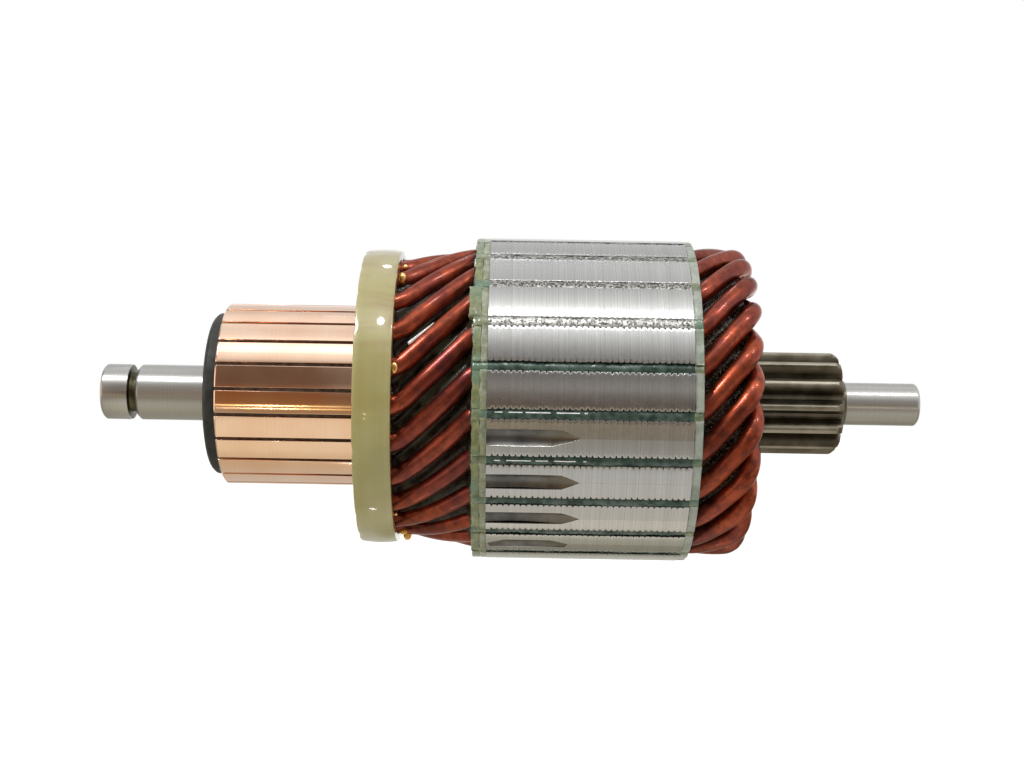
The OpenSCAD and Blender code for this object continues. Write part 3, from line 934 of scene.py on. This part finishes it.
# Layer insulation: varnished paper collars between the two layers of wire.
# Dipping fills the gaps between the outer wires over them, dark, wet looking and sunk in the middle.
layer_paper = varnished(
    "layer_paper", (0.004, 0.003, 0.002), (0.020, 0.015, 0.010), 420.0, rough=(0.06, 0.24),
    height=0.18 * mm, stain=(0.040, 0.037, 0.020), Specular_IOR_Level=0.28,
)
grainy_fill = varnished(
    "grainy_fill", (0.004, 0.003, 0.002), (0.020, 0.015, 0.010), 420.0, rough=(0.05, 0.28),
    height=0.30 * mm, stain=(0.048, 0.026, 0.018), crumbs=(0.26, 0.17, 0.12), Specular_IOR_Level=0.35,
)
gap_rows = 14
collar_steps = 60
collar_climb = 1.2 * mm
collar_cover = 0.15 * mm
collar_gap = 0.05 * mm


def filled_collar(name, node, look, start, end, tuck, seed, sunk=1.35 * mm, bends=(0.0, 1.0)):
    """A collar between two stations, each with the wires' angle, radius and layer radius there.

    Its fill is sunk between the wires. The tuck says from where and how far it dips at the end.
    """
    dice = random.Random(seed)
    (x1, turn1, wire_r1, layer_r1), (x2, turn2, wire_r2, layer_r2) = start, end
    tuck_from, end_tuck = tuck
    slope = math.atan2(abs(turn2 - turn1) * layers_r, x2 - x1)
    noise = [[dice.uniform(-0.12, 0.12) * mm for j in range(gap_rows)] for k in range(slots)]
    outer, inner = [], []
    for i in range(collar_steps + 1):
        t = i / collar_steps
        x = x1 + (x2 - x1) * t
        middle_r = wire_r1 + (wire_r2 - wire_r1) * t
        layer = layer_r1 + (layer_r2 - layer_r1) * t
        half_gap = slot_turn * middle_r * math.cos(slope) / 2
        ring, back = [], []
        tucked = end_tuck * max(0.0, t - tuck_from) / (1 - tuck_from)
        turned_by = min(1.0, max(0.0, (t - bends[0]) / (bends[1] - bends[0])))
        for k in range(slots):
            for j in range(gap_rows):
                u = j / gap_rows
                away = min(u, 1 - u) * 2 * half_gap
                sink = min(1.0, max(0.0, (half_gap - away) / (half_gap - 0.8 * wire_r)))
                noise[k][j] = 0.9 * noise[k][j] + dice.uniform(-0.035, 0.035) * mm
                r = middle_r - sunk + collar_climb * sink ** 2 + noise[k][j] - tucked
                angle = slot_angle(k) + turn1 + (turn2 - turn1) * turned_by - u * slot_turn
                ring.append(around(x, r, angle))
                back.append(around(x, layer - collar_cover, angle))
        outer.append(ring)
        inner.append(back)
    verts, faces = loft(outer + list(reversed(inner)), closed=True)
    return piece(name, verts, faces, [look], [node], sharp_deg=70)


head_turn = coil_span / 2 * slot_turn - head_half
filled_collar(
    "commutator_end_layer", "commutator_layer_insulation", layer_paper,
    (riser_end_x + collar_gap, -bar_shift * slot_turn, riser_r_out, riser_r_out - layer_step / 2),
    (plates_x - collar_gap, 0.0, outer_r, outer_r - layer_step / 2),
    (0.93, -1.6 * mm), 41, bends=(0.03, 0.97),
)
filled_collar(
    "drive_end_layer", "drive_layer_insulation", grainy_fill,
    (slot_end_x + collar_gap, 0.11 * slot_turn, outer_r, layers_r),
    (head_x - 1.2 * mm, 0.83 * head_turn, outer_r, layers_r),
    (0.7, 1.2 * mm), 42, sunk=1.8 * mm,
)

# Commutator: hard copper bars round a moulded hub, kept apart by mica and turned as one.
# The mica is cut back below the brush track, and the bars end in slotted risers.
hub_moulding = varnished(
    "hub_moulding", (0.016, 0.017, 0.016), (0.034, 0.036, 0.033), 500.0,
    rough=(0.42, 0.62), height=0.03 * mm, Specular_IOR_Level=0.3,
)
track_x = span("commutator_bar_01")[0]
collar_r = radius_of("commutator_hub")
bar_inner_r = 16.6 * mm
hub_chamfer = 0.9 * mm
hub_profile = softened([
    (riser_end_x, commutator_seat_r),
    (hub_x, commutator_seat_r),
    (hub_x, collar_r - hub_chamfer),
    (hub_x + hub_chamfer, collar_r),
    (track_x, collar_r),
    (track_x, bar_inner_r),
    (riser_end_x, bar_inner_r),
], 0.3 * mm)
hub_segments = 160
hub_rings = [
    [around(x, r, -2 * math.pi * i / hub_segments) for i in range(hub_segments)] for x, r in hub_profile
]
verts, faces = loft(hub_rings, closed=True)
piece("moulded_hub", verts, faces, [hub_moulding], ["commutator_hub"])

track_copper, marks = turned_metal("turned_copper", 4200.0, 110.0, grain=0.8)
tone = track_copper.math(
    "MULTIPLY_ADD", marks["Patches"], 0.6, track_copper.math("MULTIPLY", marks["Lines"], 0.4)
)
copper_tone = track_copper.graded(tone, (0.38, (0.88, 0.59, 0.43)), (0.62, (0.93, 0.68, 0.53)))
track_copper.finish(copper_tone, marks["Patches"], 0.075, 0.11)
track_copper.bump(marks["Lines"], 0.0012 * mm)
bar_edge = 0.09 * mm


def outward_at(point):
    """The way out from the shaft's axis at a point."""
    return Vector((0, point.y, point.z)).normalized()


def eased_copy(name, node, look, size):
    """A copy of a node's solid, welded, with its sharp edges broken and its track shaded round."""
    obj = bpy.data.objects.new(name + "_source", frame["nodes"][node].data.copy())
    weld = obj.modifiers.new("weld", "WELD")
    weld.merge_threshold = 0.002 * mm
    bevel = obj.modifiers.new("bevel", "BEVEL")
    bevel.width = size
    bevel.segments = 2
    bevel.limit_method = "ANGLE"
    bevel.angle_limit = math.radians(40)
    bevel.harden_normals = False
    mesh = plain_mesh(obj)
    finished(name, mesh, [look], [node])
    normals = [corner.vector.copy() for corner in mesh.corner_normals]
    for face in mesh.polygons:
        if face.normal.dot(outward_at(face.center)) > 0.98:
            for corner, point in zip(face.loop_indices, face.vertices):
                normals[corner] = outward_at(mesh.vertices[point].co)
    mesh.normals_split_custom_set(normals)


for k in range(1, slots + 1):
    number = f"{k:02d}"
    bar_node = "commutator_bar_" + number
    eased_copy("copper_bar_" + number, bar_node, track_copper, bar_edge)

mica_look = varnished(
    "undercut_mica", (0.035, 0.018, 0.009), (0.12, 0.066, 0.036), 600.0,
    rough=(0.5, 0.8), height=0.05 * mm,
)
dress(frame["nodes"]["commutator_mica"].data, [mica_look])

# Riser band: glass strands wound round the risers and cast in pale resin.
# It holds the brazed wire ends against the pull of the spin.
band_x, band_end_x = span("riser_band")
band_r = radius_of("riser_band")
band_in_r = band_r - 2.0 * mm
band_crown = 0.3 * mm
band_rim_r = band_r - band_crown
resin = Look(
    "band_resin", Coat_Weight=0.9, Coat_Roughness=0.06, Coat_IOR=1.5, Roughness=0.3,
    Subsurface_Weight=0.4, Subsurface_Scale=2 * mm, Subsurface_Radius=(1.0, 0.9, 0.45),
)
coat = resin.effect(film, Scale=55.0)
marks = resin.effect(turned, Lines=700.0, Patches=60.0)
strand = resin.math("MULTIPLY_ADD", coat["Cloud"], 0.8, resin.math("MULTIPLY", marks["Lines"], 0.2))
pale_resin = resin.graded(strand, (0.34, (0.33, 0.297, 0.096)), (0.66, (0.42, 0.383, 0.165)))
baked = resin.effect(film, Scale=240.0, Draw=0.2)
# Amber streaks, weighted toward the top: partly the resin's own browning, partly painted shade that darkens
# the upper side.
amber_streaks_and_top_shade = resin.math(
    "MULTIPLY", resin.ramp(baked["Cloud"], 0.42, 0.62, 0.1, 0.9),
    resin.ramp(resin.axes()["Z"], 8 * mm, 15 * mm, 0.2, 1.0),
)
resin.set(Base_Color=resin.mix(amber_streaks_and_top_shade, pale_resin, (0.31, 0.215, 0.078)))
resin.bump(coat["Cloud"], 0.03 * mm)
rim_x, rim_drop, face_drop = 0.07 * mm, 0.1 * mm, 0.35 * mm
band_half = (band_end_x - band_x) / 2 - 0.25 * mm
band_middle = (band_x + band_end_x) / 2
band_profile = [(band_end_x, band_in_r), (band_x, band_in_r), (band_x, band_rim_r - face_drop)]
band_profile.append((band_x + rim_x, band_rim_r - rim_drop))
for step in range(13):
    t = step / 6 - 1
    band_profile.append((band_middle + band_half * t, band_r - band_crown * t ** 2))
band_profile += [(band_end_x - rim_x, band_rim_r - rim_drop), (band_end_x, band_rim_r - face_drop)]
band_segments = 256
dice = random.Random(31)
swells = [
    (dice.uniform(0, 2 * math.pi), waves, dice.uniform(0.01, 0.03) * mm) for waves in (2, 3, 5, 9, 17)
]
nicks = [dice.uniform(0.02, 0.40) * mm for k in range(slots)]


def swell(angle):
    """How far the band stands out of round at an angle."""
    return sum(size * math.sin(waves * angle + phase) for phase, waves, size in swells)


band_rings = []
for x, r in band_profile:
    ring = []
    for i in range(band_segments):
        angle = -2 * math.pi * i / band_segments
        outward = (r - band_in_r) / (band_r - band_in_r)
        nick = nicks[round((angle - slot_phase) / slot_turn) % slots]
        dent = nick * math.cos(slots / 2 * (angle - slot_phase)) ** 16 if x < band_middle else 0.0
        height = r - 0.05 * mm * outward + swell(angle) * outward
        ring.append(around(x + (dent + 0.5 * swell(angle * 3)) * outward, height, angle))
    band_rings.append(ring)
verts, faces = loft(band_rings, closed=True)
piece("resin_band", verts, faces, [resin], ["riser_band"])

# Braze beads: drops of brass that ran out of the risers on to the wire ends beside the band.
# A streak of white beads on one wire is painted highlight, and a drop of amber resin hangs from the lowest
# wire.
def bead_tree(name, material):
    """Geometry Nodes that put a ball of the point's own size on each point."""
    nodes, given, result = new_group(
        name, "GeometryNodeTree", {"Points": None, "Segments": 0}, {"Beads": None}
    )
    ball = nodes.add(
        "GeometryNodeMeshUVSphere", Segments=given["Segments"], Rings=given["Segments"], Radius=1.0
    )
    size = nodes.add("GeometryNodeInputNamedAttribute", {"data_type": "FLOAT_VECTOR"}, Name="bead_size")
    spread = nodes.add(
        "GeometryNodeInstanceOnPoints", Points=given["Points"], Instance=ball.outputs["Mesh"],
        Scale=size.outputs["Attribute"],
    )
    real = nodes.add("GeometryNodeRealizeInstances", Geometry=spread.outputs["Instances"])
    finish = nodes.add("GeometryNodeSetMaterial", Geometry=real.outputs["Geometry"], Material=material)
    nodes.feed(result["Beads"], finish.outputs["Geometry"])
    return nodes.tree


def beads(name, look, places):
    """Beads at stations, radii and angles, each with its three half sizes."""
    tree = bead_tree(name + "_spread", look.material)
    points = [around(x, r, math.radians(angle)) for x, r, angle, size in places]
    mesh = grown(name, points, [], tree, {"Segments": 20}, [size for x, r, angle, size in places])
    return finished(name, mesh, [], [])


brass = Look("braze_metal", Metallic=1.0, Roughness=0.22)
coat = brass.effect(film, Scale=700.0)
brass.set(Base_Color=brass.mix(coat["Cloud"], (0.80, 0.42, 0.12), (0.92, 0.62, 0.26)))
brass.bump(coat["Cloud"], 0.12 * mm)
bead_x = band_end_x + 0.7 * mm
beads("braze_beads", brass, [
    (bead_x + 0.5 * mm, 31.8 * mm, 68.0, (0.65 * mm, 0.6 * mm, 0.8 * mm)),
    (bead_x + 0.3 * mm, 31.6 * mm, 57.0, (1.0 * mm, 0.9 * mm, 1.45 * mm)),
    (bead_x - 0.2 * mm, 31.8 * mm, 11.5, (1.0 * mm, 0.7 * mm, 1.3 * mm)),
    (bead_x - 0.3 * mm, 31.6 * mm, -56.0, (0.5 * mm, 0.5 * mm, 0.5 * mm)),
])
amber_resin = Look(
    "amber_resin", Roughness=0.12, Coat_Weight=0.8, Coat_Roughness=0.03,
    Subsurface_Weight=0.5, Subsurface_Scale=1.5 * mm,
)
coat = amber_resin.effect(film, Scale=600.0)
amber_resin.set(Base_Color=amber_resin.mix(coat["Cloud"], (0.62, 0.26, 0.02), (0.88, 0.50, 0.07)))
# These white beads are a painted highlight: a lamp's reflection on the fill, drawn as a streak.
highlight_streak_x, highlight_streak_end_x = riser_end_x + 3.6 * mm, riser_end_x + 8.8 * mm
highlight_streak_beads = 25
highlight_streak_places = []
for step in range(highlight_streak_beads):
    t = step / (highlight_streak_beads - 1)
    place = (highlight_streak_x + (highlight_streak_end_x - highlight_streak_x) * t, (30.9 + 1.1 * t) * mm, 22.6 + 7.8 * t)
    highlight_streak_places.append(place + ((0.4 * mm, 0.3 * mm, (0.42 - 0.26 * t) * mm),))
beads("painted_highlight_streak", pale_run, highlight_streak_places)
beads("resin_drop", amber_resin, [
    (bead_x + 1.6 * mm, 32.6 * mm, -80.0, (0.95 * mm, 0.6 * mm, 1.25 * mm)),
    (bead_x + 0.9 * mm, 32.4 * mm, -74.0, (0.9 * mm, 0.6 * mm, 0.6 * mm)),
])

# Studio: a pale floor in a white room, with small lamps that the varnish and the metal show as glints.
# Boards that only reflections show stand in front, below, above and to one side.
# The round metal mirrors their runs of colour as its bright and dark bands.
scene = bpy.context.scene
scene.view_settings.view_transform = "Standard"


def seen_directly(nodes):
    """One where a ray comes from the camera, a reflection or a transmission."""
    path = nodes.add("ShaderNodeLightPath").outputs
    first = nodes.math("MAXIMUM", path["Is Camera Ray"], path["Is Glossy Ray"])
    return nodes.math("MAXIMUM", first, path["Is Transmission Ray"])


world = bpy.data.worlds.new("white_room")
scene.world = world
world.use_nodes = True
room = Nodes(world.node_tree)
shown = room.add("ShaderNodeBackground", Color=(1, 1, 1), Strength=1.0)
lit = room.add("ShaderNodeBackground", Color=(1, 0.98, 0.95), Strength=0.75)
choice = room.add("ShaderNodeMixShader")
for socket, value in zip(choice.inputs, (seen_directly(room), lit.outputs[0], shown.outputs[0])):
    room.feed(socket, value)
room.feed(room.tree.nodes["World Output"].inputs["Surface"], choice.outputs[0])
room.tree.nodes.remove(room.tree.nodes["Background"])


def sheet_object(name, low, high, look):
    """A flat sheet of the staging between two opposite corners, which share one coordinate."""
    along = 0 if low[0] != high[0] else 1
    second, last = list(low), list(high)
    second[along], last[along] = high[along], low[along]
    mesh = bpy.data.meshes.new(name)
    mesh.from_pydata([low, second, high, last], [], [(0, 1, 2, 3)])
    dress(mesh, [look])
    obj = bpy.data.objects.new(name, mesh)
    scene.collection.objects.link(obj)
    return obj


def board(name, low, high):
    """A board that only reflections show, and the look that gives it its glow."""
    look = Look(name, Base_Color=(0, 0, 0), Roughness=1.0, Specular_IOR_Level=0.0, Emission_Strength=1.0)
    obj = sheet_object(name, low, high, look)
    obj.visible_camera = False
    obj.visible_shadow = False
    obj.visible_diffuse = False
    return look


def by_station(look, axis, edges, ends, copper, core):
    """What the shaft's ends, the copper and the core mirror, as runs of colour along a board's axis."""
    axes = look.axes()
    ends, copper, core = (look.graded(axes[axis], *stops) for stops in (ends, copper, core))
    end_left, copper_left, copper_right, core_left, core_right, end_right = edges
    shade = look.mix(look.ramp(axes["X"], end_left, copper_left), ends, copper)
    shade = look.mix(look.ramp(axes["X"], copper_right, core_left), shade, core)
    return look.mix(look.ramp(axes["X"], core_right, end_right), shade, ends)


floor_z = -0.20
floor_side = 6.0
floor_look = Look("pale_floor", Base_Color=(0.60, 0.60, 0.58), Roughness=0.9, Emission_Color=(1, 1, 1))
floor_look.set(Emission_Strength=floor_look.math("MULTIPLY", seen_directly(floor_look), 0.62))
sheet_object(
    "pale_floor", (-floor_side, -floor_side, floor_z), (floor_side, floor_side, floor_z), floor_look
)

flag_y = -0.70
flag_low, flag_high, flag_side = -0.30, 0.95, 1.1
flag = board("dim_flag", (-flag_side, flag_y, flag_low), (flag_side, flag_y, flag_high))
flag.set(Emission_Color=by_station(
    flag, "Z", (-0.32, -0.28, -0.14, -0.06, 0.24, 0.30),
    ends=[
        (-0.19, (0.38, 0.32, 0.25)), (0.0, (0.38, 0.33, 0.27)), (0.20, (0.42, 0.39, 0.34)),
        (0.29, (0.52, 0.50, 0.47)), (0.44, (0.80, 0.79, 0.76)), (0.70, (1.0, 1.0, 0.98)),
    ],
    copper=[
        (-0.187, (0.29, 0.17, 0.08)), (-0.171, (1.0, 0.80, 0.36)), (-0.155, (0.29, 0.15, 0.065)),
        (-0.08, (0.27, 0.14, 0.06)), (-0.02, (0.25, 0.12, 0.05)), (0.10, (0.23, 0.115, 0.06)),
        (0.17, (0.155, 0.105, 0.075)), (0.55, (0.15, 0.10, 0.074)), (0.68, (0.88, 0.86, 0.82)),
        (0.92, (1.3, 1.3, 1.27)),
    ],
    core=[
        (-0.19, (0.34, 0.30, 0.24)), (-0.12, (0.20, 0.165, 0.14)), (-0.03, (0.13, 0.11, 0.10)),
        (0.04, (0.25, 0.23, 0.22)), (0.09, (0.54, 0.52, 0.49)), (0.13, (0.48, 0.46, 0.44)),
        (0.19, (0.26, 0.25, 0.24)), (0.32, (0.32, 0.31, 0.30)), (0.44, (0.48, 0.47, 0.45)),
        (0.51, (0.75, 0.75, 0.73)), (0.61, (0.98, 0.98, 0.96)), (0.73, (1.2, 1.2, 1.18)),
        (0.90, (1.5, 1.5, 1.47)),
    ],
))

card_z = floor_z + 0.01
card_far = 0.6
card = board("warm_card", (-flag_side, flag_y, card_z), (flag_side, card_far, card_z))
card.set(Emission_Color=by_station(
    card, "Y", (-0.165, -0.14, -0.06, -0.03, 0.10, 0.14),
    ends=[
        (-0.70, (0.38, 0.32, 0.25)), (-0.34, (0.40, 0.35, 0.28)), (-0.28, (0.46, 0.40, 0.32)),
        (-0.15, (0.64, 0.59, 0.50)), (-0.06, (0.57, 0.52, 0.43)), (0.0, (0.50, 0.46, 0.36)),
        (0.11, (0.41, 0.39, 0.31)),
    ],
    copper=[
        (-0.645, (0.29, 0.17, 0.08)), (-0.61, (1.0, 0.80, 0.36)), (-0.575, (0.34, 0.22, 0.12)),
        (-0.46, (0.38, 0.28, 0.17)), (-0.37, (0.76, 0.70, 0.55)), (-0.30, (0.86, 0.81, 0.66)),
        (-0.20, (0.87, 0.82, 0.67)), (-0.07, (0.81, 0.75, 0.58)), (0.0, (0.60, 0.53, 0.39)),
        (0.12, (0.62, 0.60, 0.55)),
    ],
    core=[
        (-0.70, (0.34, 0.30, 0.24)), (-0.52, (0.30, 0.26, 0.20)), (-0.43, (0.32, 0.28, 0.22)),
        (-0.36, (0.45, 0.41, 0.37)), (-0.29, (0.54, 0.52, 0.49)), (-0.25, (0.57, 0.56, 0.53)),
        (-0.165, (0.85, 0.83, 0.79)), (-0.09, (0.89, 0.85, 0.79)), (-0.03, (0.85, 0.79, 0.69)),
        (0.0, (1.06, 0.98, 0.85)), (0.045, (0.78, 0.75, 0.62)), (0.09, (0.48, 0.44, 0.34)),
        (0.14, (0.32, 0.30, 0.23)), (0.27, (0.62, 0.60, 0.52)),
    ],
))

ceiling_far = 2.0
ceiling = board("bright_ceiling", (-flag_side, flag_y, flag_high), (flag_side, ceiling_far, flag_high))
ceiling.set(Emission_Color=ceiling.graded(
    ceiling.axes()["Y"], (-0.71, (1.6, 1.6, 1.57)), (-0.60, (1.9, 1.9, 1.87)), (-0.50, (1.9, 1.9, 1.87)),
    (-0.36, (1.45, 1.45, 1.42)), (-0.18, (1.0, 1.0, 0.98)), (-0.03, (0.90, 0.90, 0.89)),
    (0.31, (1.1, 1.1, 1.09)), (0.45, (1.0, 1.0, 1.0)), (0.67, (0.80, 0.80, 0.80)),
))
side_x, side_far = -0.9, 0.8
side_flag = board("side_flag", (side_x, flag_y, card_z), (side_x, side_far, flag_high))
side_flag.set(Emission_Color=side_flag.graded(
    side_flag.axes()["Z"], (0.15, (1.35, 1.10, 0.92)), (0.45, (0.16, 0.155, 0.15))
))


def soft_box(name, place, size, watts, colour=(1.0, 1.0, 1.0)):
    """A round lamp that faces the object."""
    lamp = bpy.data.lights.new(name, "AREA")
    lamp.shape = "ELLIPSE"
    lamp.size, lamp.size_y = size
    lamp.energy = watts
    lamp.color = colour
    obj = bpy.data.objects.new(name, lamp)
    obj.location = place
    obj.rotation_euler = (-Vector(place)).to_track_quat("-Z", "Y").to_euler()
    scene.collection.objects.link(obj)


soft_box("key_light", (-0.02, -0.375, 0.62), (0.075, 0.09), 0.45)
for side in (-0.42, 0.40):
    soft_box("end_light", (side, -0.375, 0.62), (0.10, 0.09), 0.6)
soft_box("rear_light", (-0.045, 0.33, 0.63), (0.055, 0.055), 0.07)
soft_box("wire_light", (-0.75, -0.42, 0.85), (0.34, 0.26), 4.5)
soft_box("bounce_light", (0.42, -0.42, -0.155), (0.30, 0.06), 0.07, (1.0, 0.86, 0.70))
for low in (-0.134, -0.171):
    soft_box("pilot_lamp", (-0.142, -0.55, low), (0.007, 0.007), 0.009, (1.0, 0.78, 0.45))
soft_box("under_lamp", (-0.045, 0.0, -0.18), (0.006, 0.013), 0.0024)

# Camera: level with the shaft and square to it, rolled a little as the photograph is.
# Its lens follows from the focal length in pixels of the photograph.
photo_width = 1024
focal_px = 1481
camera_distance = 350 * mm
camera_rise = 3.1 * mm
camera_aside = 0.2 * mm
roll = math.radians(0.97)
camera = bpy.data.objects.new("camera", bpy.data.cameras.new("camera"))
camera.data.sensor_width = 36
camera.data.lens = focal_px * camera.data.sensor_width / photo_width
camera.data.clip_start = 0.01
camera.location = (camera_aside, -camera_distance, camera_rise)
camera.rotation_euler = (math.radians(90), -roll, 0)
scene.collection.objects.link(camera)
scene.camera = camera
